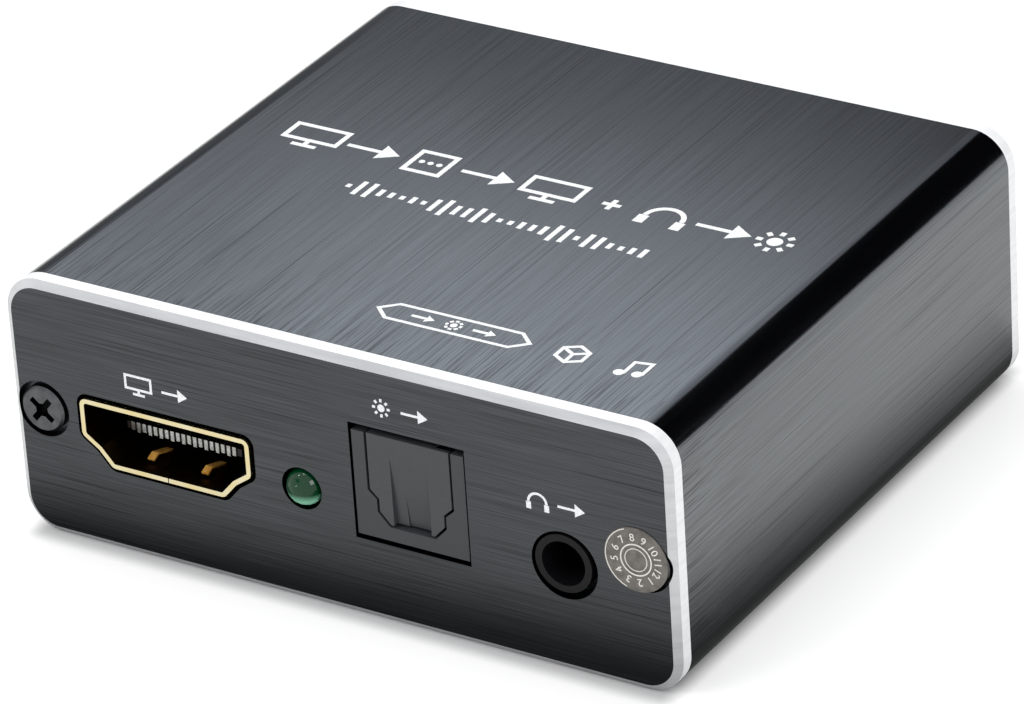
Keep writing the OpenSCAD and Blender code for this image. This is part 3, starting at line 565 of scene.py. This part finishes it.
film_dark = "#625e5a"
film_light = "#7a7570"
film_lumps = (0.8 * mm, 0.8 * mm, 0.8 * mm)
film_cover = 0.78
ink_lumps = (0.15 * mm, 0.15 * mm, 0.15 * mm)
white_dark = "#d3d6d8"
white_light = "#eceeef"
pale_dark = "#cfcbc5"
pale_light = "#e2ded8"
seal_number_r = 1.78 * mm
seal_number_h = 0.62 * mm
seal_first_angle = -22
seal_step_angle = -30
seal_ring_r = 1.25
seal_ring_w = 0.1
seal_inner_r = 0.9
seal_inner_w = 0.06
seal_outline_r = 2.5
seal_outline_w = 0.07
seal_outline_span = (110, 250)
figure_share = 0.72
print_depth = 0.02 * mm
print_sink = 0.004 * mm
print_layer = 0.0001 * mm
round_steps = 40

film = plain("seal_film", film_dark, film_light, film_lumps, metallic=0, roughness=0.25)
film.node_tree.nodes["Principled BSDF"].inputs["Alpha"].default_value = film_cover
dress("seal", "seal_film", film)

white_ink = plain("white_print", white_dark, white_light, ink_lumps, metallic=0, roughness=0.5)
pale_ink = plain("pale_print", pale_dark, pale_light, ink_lumps, metallic=0, roughness=0.5)


def bar(a, b, w):
    """A straight stroke of width w, as one outline."""
    a, b = Vector(a), Vector(b)
    side = (b - a).normalized().orthogonal() * w / 2
    return [a - side, b - side, b + side, a + side]


def disc(centre, r):
    """A round spot, as one outline."""
    turns = [2 * math.pi * k / round_steps for k in range(round_steps)]
    return [Vector(centre) + r * Vector((math.cos(t), math.sin(t))) for t in turns]


def arc(centre, r, w, start, end):
    """A bent stroke, as a row of outlines, from one angle to another in degrees."""
    steps = max(4, round(round_steps * abs(end - start) / 360))
    rays = [math.radians(start + (end - start) * k / steps) for k in range(steps + 1)]
    rays = [Vector((math.cos(t), math.sin(t))) for t in rays]
    hub = Vector(centre)
    inner, outer = r - w / 2, r + w / 2
    return [
        [hub + inner * m, hub + outer * m, hub + outer * n, hub + inner * n]
        for m, n in zip(rays, rays[1:])
    ]


def line(points, w, closed=False):
    """A stroke through the points with mitred corners, as a row of outlines."""
    points = [Vector(p) for p in points]
    count = len(points)
    edges = []
    for k, point in enumerate(points):
        before = points[k - 1] if closed or k > 0 else None
        after = points[(k + 1) % count] if closed or k < count - 1 else None
        ways = [
            (b - a).normalized() for a, b in ((before, point), (point, after))
            if a is not None and b is not None
        ]
        sides = [Vector((-way.y, way.x)) for way in ways]
        lean = sides[0] + sides[-1]
        reach = lean / lean.dot(sides[0]) * w / 2
        edges.append((point - reach, point + reach))
    pairs = zip(edges, edges[1:] + edges[:1]) if closed else zip(edges, edges[1:])
    return [[a, c, d, b] for (a, b), (c, d) in pairs]


def print_on(name, outlines, origin, across, upward, ink):
    """Prints outlines, given in millimetres on the sign's own plane, as a raised film."""
    across, upward, origin = Vector(across), Vector(upward), Vector(origin)
    out = across.cross(upward)
    corners, faces = [], []
    for layer, outline in enumerate(outlines):
        first, count = len(corners), len(outline)
        area = sum(
            a.x * b.y - b.x * a.y for a, b in zip(outline, outline[1:] + outline[:1])
        )
        if area < 0:
            outline = outline[::-1]
        for height in (-print_sink, print_depth + layer * print_layer):
            corners += [
                origin + p.x * mm * across + p.y * mm * upward + height * out for p in outline
            ]
        faces.append([first + k for k in reversed(range(count))])
        faces.append([first + count + k for k in range(count)])
        for k in range(count):
            m = (k + 1) % count
            faces.append([first + k, first + m, first + count + m, first + count + k])
    mesh = bpy.data.meshes.new(name)
    mesh.from_pydata([tuple(c) for c in corners], [], faces)
    piece = bpy.data.objects.new(name, mesh)
    bpy.context.scene.collection.objects.link(piece)
    mesh.materials.append(ink)
    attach(piece, "case")
    return piece


def print_number(name, value, height, centre, across, upward, ink):
    """Prints a plain number about a centre."""
    across, upward = Vector(across), Vector(upward)
    words = bpy.data.curves.new(name, "FONT")
    words.body = str(value)
    words.size = height / figure_share
    words.align_x = "CENTER"
    words.align_y = "CENTER"
    words.extrude = print_depth
    writer = bpy.data.objects.new(name + "_writer", words)
    bpy.context.scene.collection.objects.link(writer)
    graph = bpy.context.evaluated_depsgraph_get()
    mesh = bpy.data.meshes.new_from_object(writer.evaluated_get(graph))
    bpy.data.objects.remove(writer)
    piece = bpy.data.objects.new(name, mesh)
    bpy.context.scene.collection.objects.link(piece)
    turn = Matrix((across, upward, across.cross(upward))).transposed().to_4x4()
    mesh.transform(Matrix.Translation(Vector(centre)) @ turn)
    mesh.materials.clear()
    mesh.materials.append(ink)
    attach(piece, "case")
    return piece


right_hand, up = Vector((1, 0, 0)), Vector((0, 0, 1))
seal_low, seal_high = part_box("seal")
seal_hub = (seal_low + seal_high) / 2
seal_hub.y = seal_low.y
seal_rings = arc((0, 0), seal_ring_r, seal_ring_w, 0, 360)
seal_rings += arc((0, 0), seal_inner_r, seal_inner_w, 0, 360)
seal_rings += arc((0, 0), seal_outline_r, seal_outline_w, *seal_outline_span)
print_on("seal_ring", seal_rings, seal_hub, right_hand, up, pale_ink)
for value in range(1, 13):
    angle = math.radians(seal_first_angle + seal_step_angle * value)
    outside = math.cos(angle) * right_hand + math.sin(angle) * up
    sideways = math.sin(angle) * right_hand - math.cos(angle) * up
    print_number(
        f"seal_number_{value}", value, seal_number_h, seal_hub + seal_number_r * outside,
        sideways, outside, pale_ink,
    )

# Signs: white screen print on the top and over each socket, in plain pictures: a screen,
# arrows, a light, a headset, sound bars, boxes and a note, with numbers over the switch.
# The pictures and their places on the case are in millimetres.

sign_h = 1.5
sign_w = 0.2
big_h = 3.1
big_w = 0.42
small_w = 0.3


def move(outlines, x, y):
    """The outlines, shifted."""
    return [[Vector((p.x + x, p.y + y)) for p in outline] for outline in outlines]


def screen(h, w):
    """A screen on its foot, h high, about its middle."""
    wide, sill, foot = 0.75 * h, -0.22 * h, 0.35 * h
    rim = line([(-wide, sill), (wide, sill), (wide, h / 2), (-wide, h / 2)], w, True)
    return rim + [bar((-foot, -h / 2), (foot, -h / 2), w), bar((0, -h / 2), (0, sill), w)]


def arrow(h, w):
    """An arrow to the right, with a solid head."""
    reach, neck, half = 0.75 * h, 0.2 * h, 0.36 * h
    head = [Vector((neck, -half)), Vector((reach, 0)), Vector((neck, half))]
    return [bar((-reach, 0), (neck, 0), w), head]


def light_spot(h, w):
    """A shining light: a disc with eight rays."""
    core, near, far = 0.2 * h, 0.33 * h, h / 2
    turns = [math.radians(45 * k) for k in range(8)]
    rays = [Vector((math.cos(t), math.sin(t))) for t in turns]
    return [disc((0, 0), core)] + [bar(near * ray, far * ray, w) for ray in rays]


def headset(h, w):
    """A pair of headphones: a bow and two thick ends."""
    hub, top = -0.1 * h, -0.12 * h
    ends = [bar((x, top), (x, -h / 2), 2 * w) for x in (-h / 2, h / 2)]
    return arc((0, hub), h / 2, w, 0, 180) + ends


def little_box(h, w):
    """A square box with three dots."""
    half, step, dot = h / 2, h / 4, 0.6 * w
    rim = line([(-half, -half), (half, -half), (half, half), (-half, half)], w, True)
    return rim + [disc((x, 0), dot) for x in (-step, 0, step)]


def plus(h, w):
    """A plus sign, half as high as the other signs."""
    return [bar((-h / 4, 0), (h / 4, 0), w), bar((0, -h / 4), (0, h / 4), w)]


def row(places, h, w):
    """Signs side by side, each at its place along the row."""
    return sum((move(sign(h, w), x, 0) for x, sign in places), [])


front_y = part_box("front_panel")[0].y
rear_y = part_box("rear_panel")[1].y
top_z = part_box("case_tube")[1].z
front_signs = {
    "video_out_sign": (-15.0, 14.75, row([(-1.9, screen), (1.3, arrow)], sign_h, sign_w)),
    "optical_sign": (6.0, 18.1, row([(-1.5, light_spot), (1.3, arrow)], sign_h, sign_w)),
    "audio_sign": (18.8, 13.65, row([(-1.5, headset), (1.3, arrow)], sign_h, sign_w)),
}
for name, (x, z, outlines) in front_signs.items():
    print_on(name, outlines, (x * mm, front_y, z * mm), right_hand, up, white_ink)

flow = [
    (-19.4, screen), (-14.0, arrow), (-8.9, little_box), (-3.8, arrow),
    (1.8, screen), (7.0, plus), (11.6, headset), (16.6, arrow), (20.9, light_spot),
]
bars_left = -12.6
bars_pitch = 0.95
bars_count = 28
bar_least = 0.5
bar_swing = 2.2
bars = []
for k in range(bars_count):
    x = bars_left + bars_pitch * k
    h = bar_least + bar_swing * abs(math.sin(0.9 * k) * math.cos(0.31 * k))
    bars.append(bar((x, -h / 2), (x, h / 2), big_w))

badge_tip = 6.4
badge_side = 5.2
badge_half = 1.1
badge_arrow_h = 1.3
badge_light_h = 1.4
badge_arrow_x = 2.6
badge_rim = [
    (-badge_tip, 0), (-badge_side, badge_half), (badge_side, badge_half),
    (badge_tip, 0), (badge_side, -badge_half), (-badge_side, -badge_half),
]
badge = line(badge_rim, small_w, True)
badge += move(arrow(badge_arrow_h, small_w), -badge_arrow_x, 0)
badge += light_spot(badge_light_h, small_w)
badge += move(arrow(badge_arrow_h, small_w), badge_arrow_x, 0)

cube_r = 1.25
cube_turns = [math.radians(a) for a in range(30, 390, 60)]
cube_rim = [(cube_r * math.cos(a), cube_r * math.sin(a)) for a in cube_turns]
cube = line(cube_rim, small_w, True) + [bar((0, 0), cube_rim[k], small_w) for k in (0, 2, 4)]

note_head_r = 0.42
note = [disc((-0.5, -0.85), note_head_r), disc((0.85, -0.6), note_head_r)]
note += line([(-0.15, -0.85), (-0.15, 0.9), (1.2, 1.15), (1.2, -0.6)], small_w)

small_row_y = -18.65
top_signs = {
    "flow_sign": (0, 2.4, row(flow, big_h, big_w)),
    "sound_bars_sign": (0, -3.3, bars),
    "badge_sign": (6.2, small_row_y, badge),
    "cube_sign": (16.2, small_row_y, cube),
    "note_sign": (21.0, small_row_y, note),
}
for name, (x, y, outlines) in top_signs.items():
    print_on(name, outlines, (x * mm, y * mm, top_z), right_hand, (0, 1, 0), white_ink)

pin_dot_r = 0.22
sleeve_r = 0.55
sleeve_span = (40, 320)
polarity_ends = [
    ((0, 0), (1.7, 0)), ((-1.7, 0), (-0.6, 0)), ((-2.4, 0), (-1.8, 0)),
    ((1.8, 0), (2.6, 0)), ((2.2, -0.4), (2.2, 0.4)),
]
polarity = [disc((0, 0), pin_dot_r)] + arc((0, 0), sleeve_r, sign_w, *sleeve_span)
polarity += [bar(a, b, sign_w) for a, b in polarity_ends]
rear_signs = {
    "video_in_sign": (-13.0, 14.9, row([(-1.6, arrow), (1.6, screen)], sign_h, sign_w)),
    "power_sign": (17.5, 18.3, polarity),
}
for name, (x, z, outlines) in rear_signs.items():
    print_on(name, outlines, (x * mm, rear_y, z * mm), -right_hand, up, white_ink)

switch_number_h = 1.2 * mm
switch_number_z = 11.6 * mm
switch_number_lift = 0.001 * mm
switch_places = {1: 6 * mm, 2: 4 * mm, 3: 2 * mm}
for value, x in switch_places.items():
    print_number(
        f"switch_number_{value}", value, switch_number_h,
        (x, rear_y + switch_number_lift, switch_number_z), -right_hand, up, white_ink,
    )

# Circuit board: green glass laminate, slid into the tube's slots, with its chips, their
# tinned leads, a canned crystal, three capacitors, a coil and rows of small parts.

chip_relief = 0.002 * mm


def metal(name, dark, light, lump, roughness):
    """A metal finish whose tone has lumps of one size."""
    return plain(name, dark, light, [lump] * 3, metallic=1, roughness=roughness)


def moulded(name, dark, light, lump, roughness, depth=0):
    """A finish for resin or ceramic whose tone has lumps of one size."""
    return plain(name, dark, light, [lump] * 3, metallic=0, roughness=roughness, depth=depth)


board_mask = moulded("board_mask", "#0f4a2a", "#1d6a3d", 1.2 * mm, 0.35)
chip_epoxy = moulded("chip_epoxy", "#141517", "#232528", 0.08 * mm, 0.6, chip_relief)
tinned = metal("tinned_contact", "#a9aaa8", "#d9dad6", 0.2 * mm, 0.28)
can_metal = metal("can_metal", "#b0b3b6", "#d5d8da", 0.4 * mm, 0.25)
base_resin = moulded("base_resin", "#121214", "#202023", 0.1 * mm, 0.5)
ferrite = moulded("coil_ferrite", "#26262a", "#3d3d42", 0.07 * mm, 0.55, chip_relief)
ceramic = moulded("part_ceramic", "#8a7350", "#b39b72", 0.1 * mm, 0.45)
dress("circuit_board", "board_laminate", board_mask)
dress("main_chip", "chip_epoxy", chip_epoxy)
dress("audio_chip", "chip_epoxy", chip_epoxy)
dress("chip_leads", "contact_plate", tinned)
dress("crystal", "can_metal", can_metal)
dress("capacitor_cans", "can_metal", can_metal)
dress("capacitor_bases", "base_moulding", base_resin)
dress("power_coil", "coil_ferrite", ferrite)
dress("small_parts", "part_ceramic", ceramic)

# Video sockets: a bent and gold-plated steel shell with a flared lip and two spring
# fingers, painted dark brown inside as painted shade, a black moulding whose tongue stands
# in the opening, and nineteen tinned contacts pressed into it.

moulding_relief = 0.001 * mm
finger_lumps = (0.5 * mm, 0.5 * mm, 0.5 * mm)
lip_depth = 0.5 * mm
finger_low = 0.42 * mm
finger_high = 1.5 * mm
finger_reach = 3.2 * mm

gold = metal("gold_plate", "#fdeab2", "#fff5d0", 2 * mm, 0.24)
socket_black = moulded("socket_moulding", "#15110f", "#231d19", 0.1 * mm, 0.4, moulding_relief)
gold_inside_painted_shade = metal("gold_inside_painted_shade", "#2b1e0e", "#3f2d15", 0.6 * mm, 0.38)
gold_finger = plain(
    "gold_finger", "#d8953a", "#f2bd62", finger_lumps, metallic=0.4, roughness=0.3,
)
for side in ("out", "in"):
    piece = dress(f"video_{side}_shell", "gold_plate", gold, gold_inside_painted_shade, gold_finger)
    low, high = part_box(f"video_{side}_shell")
    mouth = low.y if side == "out" else high.y
    lip = min(v.co.z for v in piece.data.vertices if abs(v.co.y - mouth) < rim_margin)
    # Faces deeper than the lip take the painted shade, all but the fingers.
    for face in piece.data.polygons:
        inward = abs(face.center.y - mouth)
        risen = finger_low < face.center.z - lip < finger_high
        between = abs(face.center.x - (low.x + high.x) / 2) < finger_reach
        finger_or_wall = 2 if risen and between else 1
        face.material_index = 0 if inward < lip_depth else finger_or_wall
    dress(f"video_{side}_insulator", "socket_moulding", socket_black)
    dress(f"video_{side}_contacts", "contact_plate", tinned)

# Optical socket: a dark grey moulding with a hinged shutter, a little lighter, on a
# steel pin with a closing spring, and a light emitter clipped in from behind. The pin and
# spring are painted dark, as painted shade inside the socket.

optical_lump = 0.06 * mm
optical_gloss = 0.42

optical_grey = moulded(
    "optical_moulding", "#303235", "#3b3d40", optical_lump, optical_gloss, moulding_relief,
)
shutter_grey = moulded(
    "shutter_moulding", "#36383b", "#414346", optical_lump, optical_gloss, moulding_relief,
)
# The pin and spring are painted dark: painted shade deep in the socket.
spring_steel = metal("spring_steel", "#2b2c2e", "#434547", 0.1 * mm, 0.35)
emitter_black = moulded("emitter_moulding", "#18181b", "#26262a", 0.1 * mm, 0.3)
dress("optical_housing", "optical_moulding", optical_grey)
dress("optical_shutter", "shutter_moulding", shutter_grey)
dress("shutter_pin", "spring_steel", spring_steel)
dress("shutter_spring", "spring_steel", spring_steel)
dress("optical_emitter", "emitter_moulding", emitter_black)
dress("emitter_leads", "contact_plate", tinned)

# Status lamp: a clear green resin lens, cast round its two leads. Its lower part is painted
# pale, a painted reflection of the pale floor, and its upper part is a deep green.

lens_painted_reflection = "#8ccbab"
lens_deep = "#02381d"
lens_painted_reflection_share = 0.28
lens_deep_share = 0.46
lens_roughness = 0.05
lens_clearness = 0.12
resin_ior = 1.5

lamp_green, lamp_tree, lamp_shader = new_finish("lamp_epoxy", 0, lens_roughness)
lamp_low, lamp_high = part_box("lamp_lens")
# The lens is painted pale low down and deep green higher up: a painted reflection.
lamp_z = add(lamp_tree, "SeparateXYZ", add(lamp_tree, "TexCoord", out="Object"), out="Z")
lamp_painted_reflection_rise = add(lamp_tree, "MapRange", lamp_z, lamp_low.z, lamp_high.z, 0, 1)
two_tone(
    lamp_tree, lamp_painted_reflection_rise, lens_painted_reflection, lens_deep, lamp_shader, lens_painted_reflection_share, lens_deep_share,
)
lamp_shader.inputs["Transmission Weight"].default_value = lens_clearness
lamp_shader.inputs["IOR"].default_value = resin_ior
dress("lamp_lens", "lamp_epoxy", lamp_green)
dress("lamp_leads", "contact_plate", tinned)

# Audio jack: a black moulding whose round nose comes through the front panel, with three
# tinned springs in its side windows that touch the plug.

jack_shine = 0.2

jack_black = moulded("jack_moulding", "#0b0b0d", "#141417", 0.08 * mm, 0.25, moulding_relief)
jack_shader = jack_black.node_tree.nodes["Principled BSDF"]
jack_shader.inputs["Specular IOR Level"].default_value = jack_shine
dress("audio_jack_housing", "jack_moulding", jack_black)
dress("audio_jack_contacts", "contact_plate", tinned)

# Power jack: a black moulding of the same resin behind the rear panel, round a plated
# centre pin, with two tinned terminals soldered to the board.

dress("power_jack_housing", "jack_moulding", jack_black)
dress("power_jack_pin", "contact_plate", tinned)
dress("power_jack_terminals", "contact_plate", tinned)

# Mode switch: a black knob that slides in a bent steel frame on a moulded base, with a
# bronze wiper that bridges two of its four terminals in each place.

switch_steel = metal("switch_steel", "#9a9c9f", "#bfc1c3", 0.3 * mm, 0.3)
knob_black = moulded("switch_moulding", "#141416", "#232327", 0.07 * mm, 0.4, moulding_relief)
bronze = metal("wiper_bronze", "#a98346", "#cda866", 0.2 * mm, 0.3)
dress("switch_frame", "switch_steel", switch_steel)
dress("switch_base", "switch_moulding", knob_black)
dress("switch_knob", "switch_moulding", knob_black)
dress("switch_wiper", "wiper_bronze", bronze)
dress("switch_terminals", "contact_plate", tinned)

low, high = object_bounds()
